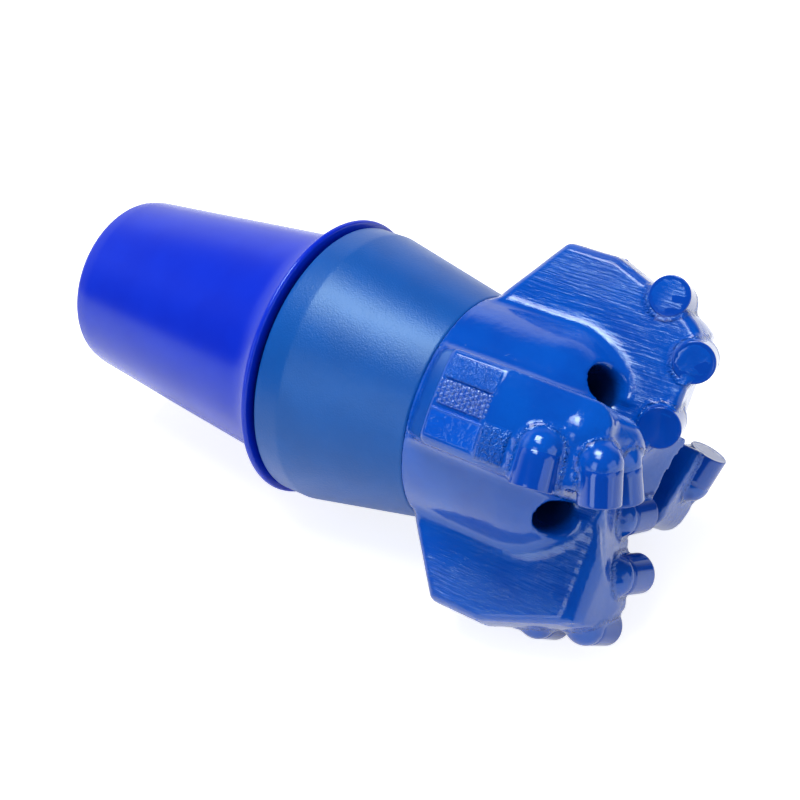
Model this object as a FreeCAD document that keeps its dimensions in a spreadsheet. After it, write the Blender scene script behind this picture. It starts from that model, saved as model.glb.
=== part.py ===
import FreeCAD, Part
import Sketcher
import math
import os

# Matrix-body drag bit, lying on its side, with the cap of its pin fitted.
# X runs along the axis towards the nose, the origin is the centre of the pin shoulder, Z is up.

# Driving dimensions, in millimetres and degrees
SIZES = {
    # shank: pin, shoulder, band and cone
    "shank_radius": 54.0,
    "shoulder_bevel": 1.6,
    "band_length": 11.7,
    "neck_along": 60.3,
    "neck_radius": 43.8,
    "neck_edge_break": 0.5,
    "pin_length": 95.25,
    "pin_base_radius": 44.45,
    "pin_nose_radius": 32.54,
    "flow_bore_radius": 19.05,
    # cap over the pin
    "cap_length": 109.6,
    "cap_end_radius": 36.2,
    "cap_end_bevel": 3.0,
    "cap_end_wall": 4.0,
    "cap_skirt_radius": 46.2,
    "cap_flare_start": 13.5,
    "cap_flare_knee": 7.6,
    "cap_flare_knee_radius": 47.9,
    "cap_flare_radius": 53.2,
    "cap_lip_radius": 56.0,
    "cap_lip_thickness": 2.6,
    "cap_lip_bevel": 0.8,
    "cap_lip_gap": 1.4,
    "cap_mouth_radius": 49.0,
    "cap_mouth_depth": 7.0,
    "cap_pin_gap": 0.3,
    # crown outline, turned: along from the crown's foot on the shank, in from the gauge circle
    "heel_foot_along": 1.2,
    "heel_corner_along": 20.2,
    "gauge_radius": 69.85,
    "gauge_end_along": 40.7,
    "shoulder_start_along": 70.7,
    "shoulder_start_in": 10.85,
    "shoulder_round": 16.0,
    "crest_along": 81.2,
    "crest_in": 24.35,
    "cone_start_along": 80.7,
    "cone_start_in": 39.85,
    "cone_apex_along": 67.7,
    "plenum_end_along": 31.7,
    "plenum_dome": 14.0,
    # blades and flutes
    "blade_count": 4.0,
    "blade_first_angle": 45.0,
    "blade_thickness": 33.0,
    "floor_bend_radius": 29.0,
    "core_end_under_apex": 2.0,
    "root_round": 8.0,
    # throat between the primary blades, where the secondary blades stop
    "throat_start_along": 58.7,
    "throat_in": 42.85,
    "throat_half_width": 21.0,
    "throat_round": 3.0,
    "throat_rear_round": 11.0,
    # relief behind the cutters: the blade's crest falls and its rear corner is rounded
    "back_cut_out": 18.0,
    "back_drop": 5.5,
    "back_corner_along": 68.7,
    "back_corner_width": 7.0,
    "back_corner_round": 9.0,
    # step in front of the cutters that are set back
    "step_start_along": 68.7,
    "step_in": 9.85,
    # deeper cone of one primary blade
    "deep_rim_along": 78.2,
    "deep_rim_in": 15.85,
    "deep_crest_along": 79.3,
    "deep_crest_in": 23.85,
    "deep_cone_along": 70.7,
    "deep_cone_out": 22.5,
    "deep_foot_along": 67.7,
    "deep_foot_out": 8.0,
    # waterways
    "waterway_radius": 8.0,
    "waterway_along": 54.7,
    "waterway_out": 32.0,
    "waterway_tilt": 36.0,
    "waterway_past": 20.0,
    # cutters and the seats behind them
    "cutter_radius": 7.25,
    "cutter_length": 13.0,
    "cutter_back_rake": 15.0,
    "cutter_inward_turn": 16.0,
    "cutter_stand": 0.8,
    "braze_gap": 0.08,
    "dome_radius": 7.7,
    "gauge_lean": 68.0,
    "shoulder_lean": 42.0,
    "nose_lean": 6.0,
    "cone_lean": -16.0,
    # places of the cutter faces: along from the crown's foot, in from the gauge circle
    # or out from the axis, back from the blade's face, and own turn inwards
    "gauge_a_along": 64.0,
    "nose_a_along": 80.7,
    "nose_a_in": 28.35,
    "cone_a_along": 77.7,
    "cone_a_out": 16.8,
    "gauge_b_along": 59.7,
    "shoulder_b_along": 78.7,
    "shoulder_b_in": 20.85,
    "shoulder_b_back": 3.5,
    "shoulder_b_turn": 30.0,
    "nose_b_along": 79.7,
    "nose_b_in": 37.35,
    "nose_b_back": 7.0,
    "nose_b_turn": 30.0,
    "gauge_c_along": 55.2,
    "shoulder_c_along": 73.7,
    "shoulder_c_in": 14.85,
    "nose_c_along": 78.2,
    "nose_c_in": 36.85,
    "cone_c_along": 71.2,
    "cone_c_out": 12.0,
    "gauge_d_along": 60.0,
    "shoulder_d_along": 75.0,
    "shoulder_d_in": 16.85,
    "nose_d_along": 80.7,
    "nose_d_in": 33.35,
    # gauge pads, three on each blade, angles from the blade's middle towards its leading face
    "pad_start_along": 20.7,
    "pad_length": 19.5,
    "pad_depth": 4.0,
    "pad_stand": 0.25,
    "pad_gap": 0.05,
    "pad_side_gap": 0.1,
    "rear_pad_angle": -8.75,
    "rear_pad_width": 6.9,
    "grit_pad_angle": -1.2,
    "grit_pad_width": 7.4,
    "front_pad_angle": 7.15,
    "front_pad_width": 8.5,
}

BLADES = ("a", "b", "c", "d")
SECONDARY = ("b", "d")

# Cutters on each blade, from the gauge to the centre
CUTTERS = {
    "a": ("gauge", "nose", "cone"),
    "b": ("gauge", "shoulder", "nose"),
    "c": ("gauge", "shoulder", "nose", "cone"),
    "d": ("gauge", "shoulder", "nose"),
}

PADS = ("rear", "grit", "front")

X_AXIS = FreeCAD.Vector(1, 0, 0)
Z_AXIS = FreeCAD.Vector(0, 0, 1)

doc = FreeCAD.newDocument("drag_bit")


class Length:
    """A size in millimetres together with the sheet expression that gives it."""

    def __init__(self, value, text):
        self.value = value
        self.text = text

    def __add__(self, other):
        other = as_length(other)
        return Length(self.value + other.value, f"({self.text} + {other.text})")

    def __sub__(self, other):
        other = as_length(other)
        return Length(self.value - other.value, f"({self.text} - {other.text})")

    def __mul__(self, other):
        other = as_length(other)
        return Length(self.value * other.value, f"({self.text} * {other.text})")

    def __truediv__(self, other):
        other = as_length(other)
        return Length(self.value / other.value, f"({self.text} / {other.text})")

    def __neg__(self):
        return Length(-self.value, f"(0 - {self.text})")

    def root(self):
        return Length(math.sqrt(self.value), f"sqrt({self.text})")


def as_length(number):
    """A plain number as a Length, and a Length as it is."""
    if isinstance(number, Length):
        return number
    return Length(float(number), repr(float(number)))


ZERO = Length(0.0, "0")


class Sheet:
    """The spreadsheet's sizes, read by name."""

    def __init__(self, sizes):
        self.sheet = doc.addObject("Spreadsheet::Sheet", "Sizes")
        for row, (name, value) in enumerate(sizes.items(), 1):
            self.sheet.set(f"A{row}", name)
            self.sheet.set(f"B{row}", str(value))
            self.sheet.setAlias(f"B{row}", name)
        doc.recompute()

    def __getattr__(self, name):
        return Length(float(self.sheet.get(name)), "Sizes." + name)

    def named(self, name):
        return getattr(self, name)


size = Sheet(SIZES)


# Helpers for bodies, sketches and features

def bind(feature, name, length):
    """Set a property from the sheet, by its expression."""
    feature.setExpression(name, length.text)


def new_body(label):
    body = doc.addObject("PartDesign::Body", label)
    body.Label = label
    return body


def origin_feature(body, role):
    return next(item for item in body.Origin.OriginFeatures if item.Role == role)


def arc_between(start, end, radius, side):
    """Arc from start to end, its centre to the left (side 1) or the right (side -1) of the chord.

    Returns the arc, which always runs anticlockwise, and whether it starts at start.
    """
    chord = end.sub(start)
    rise = math.sqrt(max(radius ** 2 - (chord.Length / 2) ** 2, 0.0))
    left = FreeCAD.Vector(-chord.y, chord.x, 0).normalize()
    centre = (start + end) * 0.5 + left * (side * rise)
    forward = side > 0
    first, last = (start, end) if forward else (end, start)
    first_angle = math.atan2(first.y - centre.y, first.x - centre.x)
    last_angle = math.atan2(last.y - centre.y, last.x - centre.x)
    if last_angle < first_angle:
        last_angle += 2 * math.pi
    circle = Part.Circle(centre, Z_AXIS, radius)
    return Part.ArcOfCircle(circle, first_angle, last_angle), forward


def fix_point(sketch, edge, end, x, y):
    """Hold one end of an edge at the two lengths x and y from the sketch's origin."""
    for kind, axis, length in (("DistanceX", -2, x), ("DistanceY", -1, y)):
        if length is ZERO:
            sketch.addConstraint(Sketcher.Constraint("PointOnObject", edge, end, axis))
            continue
        index = sketch.addConstraint(Sketcher.Constraint(kind, -1, 1, edge, end, length.value))
        bind(sketch, f"Constraints[{index}]", length)


def outline(body, name, corners, plane="XZ_Plane", along=None):
    """Closed sketch through the corners, each (x, y) or (x, y, arc radius, side) to the next one."""
    sketch = body.newObject("Sketcher::SketchObject", name)
    sketch.AttachmentSupport = (origin_feature(body, plane), [""])
    sketch.MapMode = "FlatFace"
    if along is not None:
        bind(sketch, "AttachmentOffset.Base.z", along)
    points = [FreeCAD.Vector(corner[0].value, corner[1].value, 0) for corner in corners]
    ends = []
    for index, corner in enumerate(corners):
        start = points[index]
        end = points[(index + 1) % len(points)]
        if len(corner) == 2:
            edge = sketch.addGeometry(Part.LineSegment(start, end))
            ends.append((edge, 1, 2))
        else:
            arc, forward = arc_between(start, end, corner[2].value, corner[3])
            edge = sketch.addGeometry(arc)
            ends.append((edge, 1, 2) if forward else (edge, 2, 1))
            radius = sketch.addConstraint(Sketcher.Constraint("Radius", edge, corner[2].value))
            bind(sketch, f"Constraints[{radius}]", corner[2])
    for index, (edge, first, last) in enumerate(ends):
        following, start, end = ends[(index + 1) % len(ends)]
        sketch.addConstraint(Sketcher.Constraint("Coincident", edge, last, following, start))
        fix_point(sketch, edge, first, corners[index][0], corners[index][1])
    return sketch


def turned(body, sketch, kind="PartDesign::Revolution", name="Turned"):
    """Sketch turned a full circle about the X axis."""
    feature = body.newObject(kind, name)
    feature.Profile = sketch
    feature.ReferenceAxis = (sketch, ["H_Axis"])
    feature.Angle = 360
    body.Tip = feature
    doc.recompute()
    return feature


def edge_names(feature, wanted):
    """Names of the edges for which wanted(edge) is true."""
    return [f"Edge{index}" for index, edge in enumerate(feature.Shape.Edges, 1) if wanted(edge)]


def ring_names(feature, along, radius):
    """Names of the circular edges about the X axis at one place and radius."""

    def wanted(edge):
        curve = edge.Curve
        if not isinstance(curve, Part.Circle):
            return False
        same_place = abs(curve.Center.x - along.value) < 1e-3
        return same_place and abs(curve.Radius - radius.value) < 1e-3 and abs(curve.Axis.x) > 0.99

    return edge_names(feature, wanted)


def dress(body, kind, base, names, length, name):
    """Fillet or chamfer on named edges of the last feature."""
    feature = body.newObject(kind, name)
    feature.Base = (base, names)
    bind(feature, "Radius" if kind.endswith("Fillet") else "Size", length)
    body.Tip = feature
    doc.recompute()
    return feature


def primitive(body, kind, name, place, **lengths):
    """Additive or subtractive primitive at a place, with its lengths from the sheet."""
    feature = body.newObject(kind, name)
    for key, length in lengths.items():
        bind(feature, key, length)
    feature.Placement = place
    body.Tip = feature
    return feature


def around(body, feature, name):
    """Copies of a feature, one for each blade, about the X axis."""
    pattern = body.newObject("PartDesign::PolarPattern", name)
    pattern.Originals = [feature]
    pattern.Axis = (origin_feature(body, "X_Axis"), [""])
    pattern.Angle = 360
    bind(pattern, "Occurrences", size.blade_count)
    body.Tip = pattern
    doc.recompute()
    return pattern


# Places on the blades

def blade_angle(blade):
    """Angle of a blade's middle from Y towards Z, in degrees; the bit turns that way."""
    return size.blade_first_angle.value + 360.0 / size.blade_count.value * BLADES.index(blade)


def blade_axes(blade):
    """Directions outwards along a blade and forwards, square to its leading face."""
    turn = math.radians(blade_angle(blade))
    outward = FreeCAD.Vector(0, math.cos(turn), math.sin(turn))
    forward = FreeCAD.Vector(0, -math.sin(turn), math.cos(turn))
    return outward, forward


def cutter_out(blade, kind):
    """Distance of a cutter's face out along its blade; a gauge cutter's tip is on the gauge circle."""
    if kind == "gauge":
        half = size.blade_thickness / 2
        return (size.gauge_radius * size.gauge_radius - half * half).root() - size.cutter_radius
    if kind == "cone":
        return size.named(f"cone_{blade}_out")
    return size.gauge_radius - size.named(f"{kind}_{blade}_in")


def own_or(name, usual):
    """A cutter's own size where it has one, or else the usual one."""
    return size.named(name) if name in SIZES else usual


def cutter_frame(blade, kind):
    """Centre of a cutter's seat from the crown's foot, and the direction in which it faces."""
    outward, forward = blade_axes(blade)
    along = size.named(f"{kind}_{blade}_along").value
    out = cutter_out(blade, kind).value
    lean = math.radians(size.named(f"{kind}_lean").value)
    rake = math.radians(size.cutter_back_rake.value)
    turn = math.radians(own_or(f"{kind}_{blade}_turn", size.cutter_inward_turn).value)
    to_rock = X_AXIS * math.cos(lean) + outward * math.sin(lean)
    onward = forward * math.cos(turn) - outward * math.sin(turn)
    facing = (onward * math.cos(rake) + to_rock * math.sin(rake)).normalize()
    back = own_or(f"{kind}_{blade}_back", ZERO)
    ahead = (size.blade_thickness / 2 + size.cutter_stand - back).value
    face = X_AXIS * along + outward * out + forward * ahead
    return face - facing * size.cutter_length.value, facing


def facing_place(point, direction):
    """Placement whose Z axis looks along a direction."""
    return FreeCAD.Placement(point, FreeCAD.Rotation(Z_AXIS, direction))


def on_crown(body, place):
    """Put a body at a place that is measured from the crown's foot."""
    body.Placement = place
    bind(body, "Placement.Base.x", size.neck_along + place.Base.x)


# The pieces

def pin_radius_at(along):
    """Radius of the pin's cone at a distance along the axis, which is negative on the pin."""
    taper = (size.pin_base_radius - size.pin_nose_radius) / size.pin_length
    return size.pin_base_radius + taper * along


def make_thread_protector():
    """Moulded cap: closed cone over the pin with a flared skirt and a flat lip."""
    body = new_body("thread_protector")
    lip_front = -size.cap_lip_gap
    lip_back = -(size.cap_lip_gap + size.cap_lip_thickness)
    mouth_end = -(size.cap_lip_gap + size.cap_mouth_depth)
    cavity_end = size.cap_end_wall - size.cap_length
    corners = [
        (-size.cap_length, ZERO),
        (-size.cap_length, size.cap_end_radius),
        (-size.cap_flare_start, size.cap_skirt_radius),
        (-size.cap_flare_knee, size.cap_flare_knee_radius),
        (lip_back, size.cap_flare_radius),
        (lip_back, size.cap_lip_radius),
        (lip_front, size.cap_lip_radius),
        (lip_front, size.cap_mouth_radius),
        (mouth_end, pin_radius_at(mouth_end) + size.cap_pin_gap),
        (cavity_end, pin_radius_at(cavity_end) + size.cap_pin_gap),
        (cavity_end, ZERO),
    ]
    cap = turned(body, outline(body, "CapOutline", corners), name="CapWall")
    end_ring = ring_names(cap, -size.cap_length, size.cap_end_radius)
    cap = dress(body, "PartDesign::Chamfer", cap, end_ring, size.cap_end_bevel, "EndBevel")
    lip_rings = ring_names(cap, lip_back, size.cap_lip_radius) + ring_names(cap, lip_front, size.cap_lip_radius)
    dress(body, "PartDesign::Chamfer", cap, lip_rings, size.cap_lip_bevel, "LipBevel")
    return body


def make_shank():
    """Steel shank: tapered pin, shoulder, band and cone, bored through."""
    body = new_body("shank")
    corners = [
        (-size.pin_length, size.flow_bore_radius),
        (-size.pin_length, size.pin_nose_radius),
        (ZERO, size.pin_base_radius),
        (ZERO, size.shank_radius),
        (size.band_length, size.shank_radius),
        (size.neck_along, size.neck_radius),
        (size.neck_along, size.flow_bore_radius),
    ]
    shank = turned(body, outline(body, "ShankOutline", corners), name="ShankTurned")
    shoulder = ring_names(shank, ZERO, size.shank_radius)
    shank = dress(body, "PartDesign::Chamfer", shank, shoulder, size.shoulder_bevel, "ShoulderBevel")
    neck = ring_names(shank, size.neck_along, size.neck_radius)
    dress(body, "PartDesign::Chamfer", shank, neck, size.neck_edge_break, "NeckEdgeBreak")
    return body


def crown_blank(body):
    """Crown before its flutes: heel, gauge, shoulder, nose and cone, turned in one."""
    corners = [
        (ZERO, size.flow_bore_radius),
        (ZERO, size.neck_radius),
        (size.heel_foot_along, size.neck_radius),
        (size.heel_corner_along, size.gauge_radius),
        (size.gauge_end_along, size.gauge_radius),
        (size.shoulder_start_along, size.gauge_radius - size.shoulder_start_in, size.shoulder_round, -1),
        (size.crest_along, size.gauge_radius - size.crest_in),
        (size.cone_start_along, size.gauge_radius - size.cone_start_in),
        (size.cone_apex_along, ZERO),
        (size.plenum_end_along, ZERO),
        (size.plenum_end_along - size.plenum_dome, size.flow_bore_radius),
    ]
    return turned(body, outline(body, "CrownOutline", corners), name="CrownBlank")


def cut_through(body, name, sketch, thickness=None):
    """Cut from a sketch through all on its far side, or a thickness with the sketch in its middle."""
    cut = body.newObject("PartDesign::Pocket", name)
    cut.Profile = sketch
    if thickness is None:
        cut.Type = "ThroughAll"
        cut.Reversed = True
    else:
        cut.Midplane = True
        bind(cut, "Length", thickness)
    body.Tip = cut
    doc.recompute()
    return cut


def cut_onwards(body, name, corners, start, turn):
    """Cut from a place on the axis through the nose, its outline turned about the axis."""
    sketch = outline(body, f"{name}Outline", corners, plane="YZ_Plane", along=start)
    sketch.AttachmentOffset = FreeCAD.Placement(
        sketch.AttachmentOffset.Base, FreeCAD.Rotation(Z_AXIS, turn))
    return cut_through(body, name, sketch)


def blade_sketch(body, name, corners, plane, blade):
    """Sketch on a blade: (along, backwards) on the XY plane turned to it, (along, out) on the XZ plane."""
    sketch = outline(body, f"{name}Outline", corners, plane=plane)
    sketch.AttachmentOffset = FreeCAD.Placement(
        FreeCAD.Vector(), FreeCAD.Rotation(X_AXIS, blade_angle(blade) - 90.0))
    return sketch


def part_blades(body):
    """Gaps between the blades, cut down to where neighbouring blade faces meet."""
    half_gap = math.pi / size.blade_count.value
    meet = size.blade_thickness / (2 * math.sin(half_gap))
    side = size.gauge_radius * (2 * math.sin(half_gap))
    far = meet + size.gauge_radius * (2 * math.cos(half_gap))
    corners = [(ZERO, meet), (side, far), (-side, far)]
    middle = blade_angle(BLADES[0]) + math.degrees(half_gap)
    gap = cut_onwards(body, "BladeGap", corners, ZERO, middle - 90.0)
    return around(body, gap, "BladeGaps")


def add_core(body):
    """Core that the blades stand on: the flutes' floor, which bends in a quarter circle to the nose."""
    bend_end = size.cone_apex_along - size.core_end_under_apex
    core_end_radius = size.neck_radius - size.floor_bend_radius
    corners = [
        (ZERO, size.flow_bore_radius),
        (ZERO, size.neck_radius),
        (bend_end - size.floor_bend_radius, size.neck_radius, size.floor_bend_radius, -1),
        (bend_end, core_end_radius),
        (bend_end, ZERO),
        (size.plenum_end_along, ZERO),
        (size.plenum_end_along - size.plenum_dome, size.flow_bore_radius),
    ]
    return turned(body, outline(body, "CoreOutline", corners), name="Core")


def floor_radius_at(along):
    """Radius of the flutes' floor at a place on the axis, in millimetres."""
    bend = size.floor_bend_radius.value
    bend_start = (size.cone_apex_along - size.core_end_under_apex).value - bend
    past = min(max(along - bend_start, 0.0), bend)
    return size.neck_radius.value - bend + math.sqrt(bend ** 2 - past ** 2)


def root_names(core):
    """Names of the edges where a blade's face stands on the core."""
    half = size.blade_thickness.value / 2
    ahead = [blade_axes(blade)[1] for blade in BLADES]

    def at_root(point):
        on_face = any(abs(abs(point.dot(forward)) - half) < 1e-3 for forward in ahead)
        radius = math.hypot(point.y, point.z)
        return on_face and abs(radius - floor_radius_at(point.x)) < 0.02

    def wanted(edge):
        first, last = edge.FirstParameter, edge.LastParameter
        inner = [edge.valueAt(first + (last - first) * share) for share in (0.1, 0.5, 0.9)]
        return inner[1].x > 1e-3 and all(at_root(point) for point in inner)

    return edge_names(core, wanted)


def open_throat(body):
    """Hollow beside the centre, between the primary blades, where the secondary blades stop."""
    near = size.blade_thickness / 2
    far = size.gauge_radius - size.throat_in
    side = size.throat_half_width
    rounding = size.throat_round
    rear_round = size.throat_rear_round
    corners = [
        (-side, near),
        (side, near),
        (side, far + rear_round),
        (near, far + rear_round, rear_round, -1),
        (near - rear_round, far),
        (-(side - rounding), far, rounding, 1),
        (-side, far - rounding),
    ]
    for blade in SECONDARY:
        cut_onwards(body, f"Throat_{blade}", corners, size.throat_start_along, blade_angle(blade) - 90.0)


def step_face(body):
    """Step in a secondary blade's leading face, in front of the cutters that are set back."""
    face = size.blade_thickness / 2
    near = size.gauge_radius - size.throat_in - size.throat_round
    far = size.gauge_radius - size.step_in
    corners = [
        (-(face + size.nose_b_back), near),
        (-(face - size.nose_b_back), near),
        (-(face - size.shoulder_b_back), far),
        (-(face + size.nose_b_back), far),
    ]
    cut_onwards(body, "Step_b", corners, size.step_start_along, blade_angle("b") - 90.0)


def relieve_backs(body):
    """Crest of each blade, falling from its leading edge to a rounded rear corner."""
    half = size.blade_thickness / 2
    slope = size.back_drop / (size.blade_thickness - size.back_corner_width)
    far = size.crest_along + size.blade_thickness
    corners = [
        (size.crest_along + slope * half, -size.blade_thickness),
        (size.crest_along - size.back_drop, half - size.back_corner_width, size.back_corner_round, -1),
        (size.back_corner_along, half),
        (size.back_corner_along, size.blade_thickness),
        (far, size.blade_thickness),
        (far, -size.blade_thickness),
    ]
    first = BLADES[0]
    sketch = blade_sketch(body, "Back", corners, "XY_Plane", first)
    outward = blade_axes(first)[0]
    bind(sketch, "AttachmentOffset.Base.y", size.back_cut_out * outward.y)
    bind(sketch, "AttachmentOffset.Base.z", size.back_cut_out * outward.z)
    around(body, cut_through(body, "Back", sketch), "Backs")


def deepen_cone(body):
    """Deeper cone on one primary blade, cut across it from its shoulder to the middle."""
    far = size.crest_along + size.blade_thickness
    rim = size.gauge_radius - size.deep_rim_in
    corners = [
        (size.deep_rim_along, rim),
        (size.deep_crest_along, size.gauge_radius - size.deep_crest_in),
        (size.deep_cone_along, size.deep_cone_out),
        (size.deep_foot_along, size.deep_foot_out),
        (far, size.deep_foot_out),
        (far, rim),
    ]
    sketch = blade_sketch(body, "DeepCone", corners, "XZ_Plane", "c")
    cut_through(body, "DeepCone", sketch, size.blade_thickness + size.throat_round)


def bore_waterways(body):
    """Waterways from the plenum to the flute floors, one in each flute."""
    tilt = math.radians(size.waterway_tilt.value)
    middle = math.radians(blade_angle(BLADES[0])) + math.pi / size.blade_count.value
    outward = FreeCAD.Vector(0, math.cos(middle), math.sin(middle))
    direction = X_AXIS * math.cos(tilt) + outward * math.sin(tilt)
    mouth = X_AXIS * size.waterway_along.value + outward * size.waterway_out.value
    length = size.waterway_out / math.sin(tilt)
    start = mouth - direction * length.value
    hole = primitive(body, "PartDesign::SubtractiveCylinder", "Waterway", facing_place(start, direction),
                     Radius=size.waterway_radius, Height=length + size.waterway_past)
    doc.recompute()
    return around(body, hole, "Waterways")


def seat_cutters(body):
    """Domed backs behind the cutters, then the round pockets that the cutters are brazed into."""
    for blade in BLADES:
        for kind in CUTTERS[blade]:
            seat, facing = cutter_frame(blade, kind)
            dome = primitive(body, "PartDesign::AdditiveSphere", f"Dome_{kind}_{blade}",
                             facing_place(seat, -facing), Radius=size.dome_radius)
            dome.Angle1 = 0
            doc.recompute()
    for blade in BLADES:
        for kind in CUTTERS[blade]:
            seat, facing = cutter_frame(blade, kind)
            primitive(body, "PartDesign::SubtractiveCylinder", f"Pocket_{kind}_{blade}",
                      facing_place(seat, facing), Radius=size.cutter_radius + size.braze_gap,
                      Height=size.cutter_length + size.cutter_radius)
            doc.recompute()


def pad_corners(gap, stand):
    """Corners of a pad's section along the axis and out from it."""
    start = size.pad_start_along - gap
    end = size.pad_start_along + size.pad_length + gap
    bottom = size.gauge_radius - size.pad_depth - gap
    top = size.gauge_radius + stand
    return [(start, bottom), (start, top), (end, top), (end, bottom)]


def sink_pads(body):
    """Shallow pockets for the gauge pads, the same on every blade."""
    for pad in PADS:
        outline_angle = blade_angle(BLADES[0]) + size.named(f"{pad}_pad_angle").value
        sketch = outline(body, f"Pocket_{pad}", pad_corners(size.pad_gap, size.pad_depth))
        sketch.AttachmentOffset = FreeCAD.Placement(
            FreeCAD.Vector(), FreeCAD.Rotation(X_AXIS, outline_angle - 90.0))
        groove = body.newObject("PartDesign::Groove", f"PadPocket_{pad}")
        groove.Profile = sketch
        groove.ReferenceAxis = (sketch, ["H_Axis"])
        groove.Midplane = True
        bind(groove, "Angle", size.named(f"{pad}_pad_width"))
        body.Tip = groove
        doc.recompute()
        around(body, groove, f"PadPockets_{pad}")


def make_crown():
    """Cast crown: blades, flutes, waterways, cutter seats and pad pockets in one piece."""
    body = new_body("crown")
    crown_blank(body)
    part_blades(body)
    core = add_core(body)
    dress(body, "PartDesign::Fillet", core, root_names(core), size.root_round, "RootRound")
    open_throat(body)
    step_face(body)
    relieve_backs(body)
    deepen_cone(body)
    sink_pads(body)
    bore_waterways(body)
    seat_cutters(body)
    on_crown(body, FreeCAD.Placement())
    return body


def make_cutter(blade, kind):
    """Round cutter, a plain cylinder."""
    body = new_body(f"cutter_{kind}_{blade}")
    sketch = body.newObject("Sketcher::SketchObject", "Round")
    sketch.AttachmentSupport = (origin_feature(body, "XY_Plane"), [""])
    sketch.MapMode = "FlatFace"
    sketch.addGeometry(Part.Circle(FreeCAD.Vector(), Z_AXIS, size.cutter_radius.value))
    sketch.addConstraint(Sketcher.Constraint("Coincident", 0, 3, -1, 1))
    radius = sketch.addConstraint(Sketcher.Constraint("Radius", 0, size.cutter_radius.value))
    bind(sketch, f"Constraints[{radius}]", size.cutter_radius)
    pad = body.newObject("PartDesign::Pad", "Cylinder")
    pad.Profile = sketch
    bind(pad, "Length", size.cutter_length)
    body.Tip = pad
    doc.recompute()
    seat, facing = cutter_frame(blade, kind)
    on_crown(body, facing_place(seat, facing))
    return body


def make_pad(blade, pad):
    """Curved gauge pad, a short sector of a ring."""
    body = new_body(f"gauge_{pad}_pad_{blade}")
    sketch = outline(body, "PadOutline", pad_corners(ZERO, size.pad_stand))
    sector = body.newObject("PartDesign::Revolution", "Sector")
    sector.Profile = sketch
    sector.ReferenceAxis = (sketch, ["H_Axis"])
    sector.Midplane = True
    bind(sector, "Angle", size.named(f"{pad}_pad_width") - size.pad_side_gap)
    body.Tip = sector
    doc.recompute()
    turn = blade_angle(blade) + size.named(f"{pad}_pad_angle").value - 90.0
    on_crown(body, FreeCAD.Placement(FreeCAD.Vector(), FreeCAD.Rotation(X_AXIS, turn)))
    return body


def check(parts):
    """Stop if any object failed, or any piece is empty or invalid."""
    for item in doc.Objects:
        if "Invalid" in item.State or "Error" in item.State:
            raise RuntimeError(f"{item.Label} failed: {item.State}")
    for part in parts:
        if part.Shape.isNull() or not part.Shape.isValid() or not part.Shape.Solids:
            raise RuntimeError(f"{part.Label} has no valid solid")


def main():
    parts = [make_thread_protector(), make_shank(), make_crown()]
    for blade in BLADES:
        parts += [make_cutter(blade, kind) for kind in CUTTERS[blade]]
        parts += [make_pad(blade, pad) for pad in PADS]
    doc.recompute()
    check(parts)
    os.makedirs("parts", exist_ok=True)
    for part in parts:
        part.Shape.exportStep(f"parts/{part.Label}.step")
        print(f"{part.Label} {part.Shape.Volume / 1000:.2f} cm3, {len(part.Shape.Solids)} solid")


main()
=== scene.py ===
import math

import bpy
import numpy as np
from mathutils import Matrix, Vector


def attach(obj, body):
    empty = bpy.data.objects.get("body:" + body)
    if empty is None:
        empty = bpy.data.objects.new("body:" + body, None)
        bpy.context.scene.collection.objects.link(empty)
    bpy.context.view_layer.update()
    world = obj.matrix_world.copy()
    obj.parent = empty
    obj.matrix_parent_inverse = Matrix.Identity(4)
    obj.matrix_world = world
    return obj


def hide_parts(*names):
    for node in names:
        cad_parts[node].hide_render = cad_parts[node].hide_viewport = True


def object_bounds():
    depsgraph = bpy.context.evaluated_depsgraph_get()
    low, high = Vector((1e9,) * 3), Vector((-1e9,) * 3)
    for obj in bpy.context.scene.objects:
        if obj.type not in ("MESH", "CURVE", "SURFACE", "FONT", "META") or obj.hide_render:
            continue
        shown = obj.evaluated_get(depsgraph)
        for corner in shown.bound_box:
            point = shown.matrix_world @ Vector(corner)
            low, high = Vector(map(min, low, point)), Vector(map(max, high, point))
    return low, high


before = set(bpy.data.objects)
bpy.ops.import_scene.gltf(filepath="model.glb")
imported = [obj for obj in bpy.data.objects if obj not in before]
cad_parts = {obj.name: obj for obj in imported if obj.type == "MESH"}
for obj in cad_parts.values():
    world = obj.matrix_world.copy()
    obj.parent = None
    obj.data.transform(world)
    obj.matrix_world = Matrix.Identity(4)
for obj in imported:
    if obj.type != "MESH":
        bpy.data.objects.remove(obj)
cad_low, cad_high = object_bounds()

# Sizes of the bit, in metres. X runs along the axis to the nose, blades stand halfway between Y and Z.
SHANK_RADIUS = 0.054
BAND_LENGTH = 0.0117
NECK_ALONG = 0.0603
NECK_RADIUS = 0.0438
BORE_RADIUS = 0.01905
PIN_LENGTH = 0.09525
PIN_BASE_RADIUS = 0.04445
PIN_NOSE_RADIUS = 0.03254
PIN_SLOPE = (PIN_BASE_RADIUS - PIN_NOSE_RADIUS) / PIN_LENGTH
THREAD_PITCH = 0.00508
THREAD_DEPTH = 0.0026
CAP_LENGTH = 0.1096
CAP_WALL = 0.004
CAP_END_RADIUS = 0.0362
CAP_END_ROUND = 0.0035
CAP_SKIRT_RADIUS = 0.0462
CAP_LIP_RADIUS = 0.056
GAUGE_RADIUS = 0.06985
HALF_BLADE = 0.0165
CUTTERS_START = 0.1
CUTTER_RADIUS = 0.00725
CUTTER_LENGTH = 0.013
CUTTER_STAND = 0.0008
BACK_RAKE = math.radians(15.0)
CROWN_VOXEL = 0.00105
FLOOR_HALF = 6.0

# Angles round the axis, in degrees, of the blades' middles
BLADES = {"a": 45.0, "b": 135.0, "c": 225.0, "d": 315.0}

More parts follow.
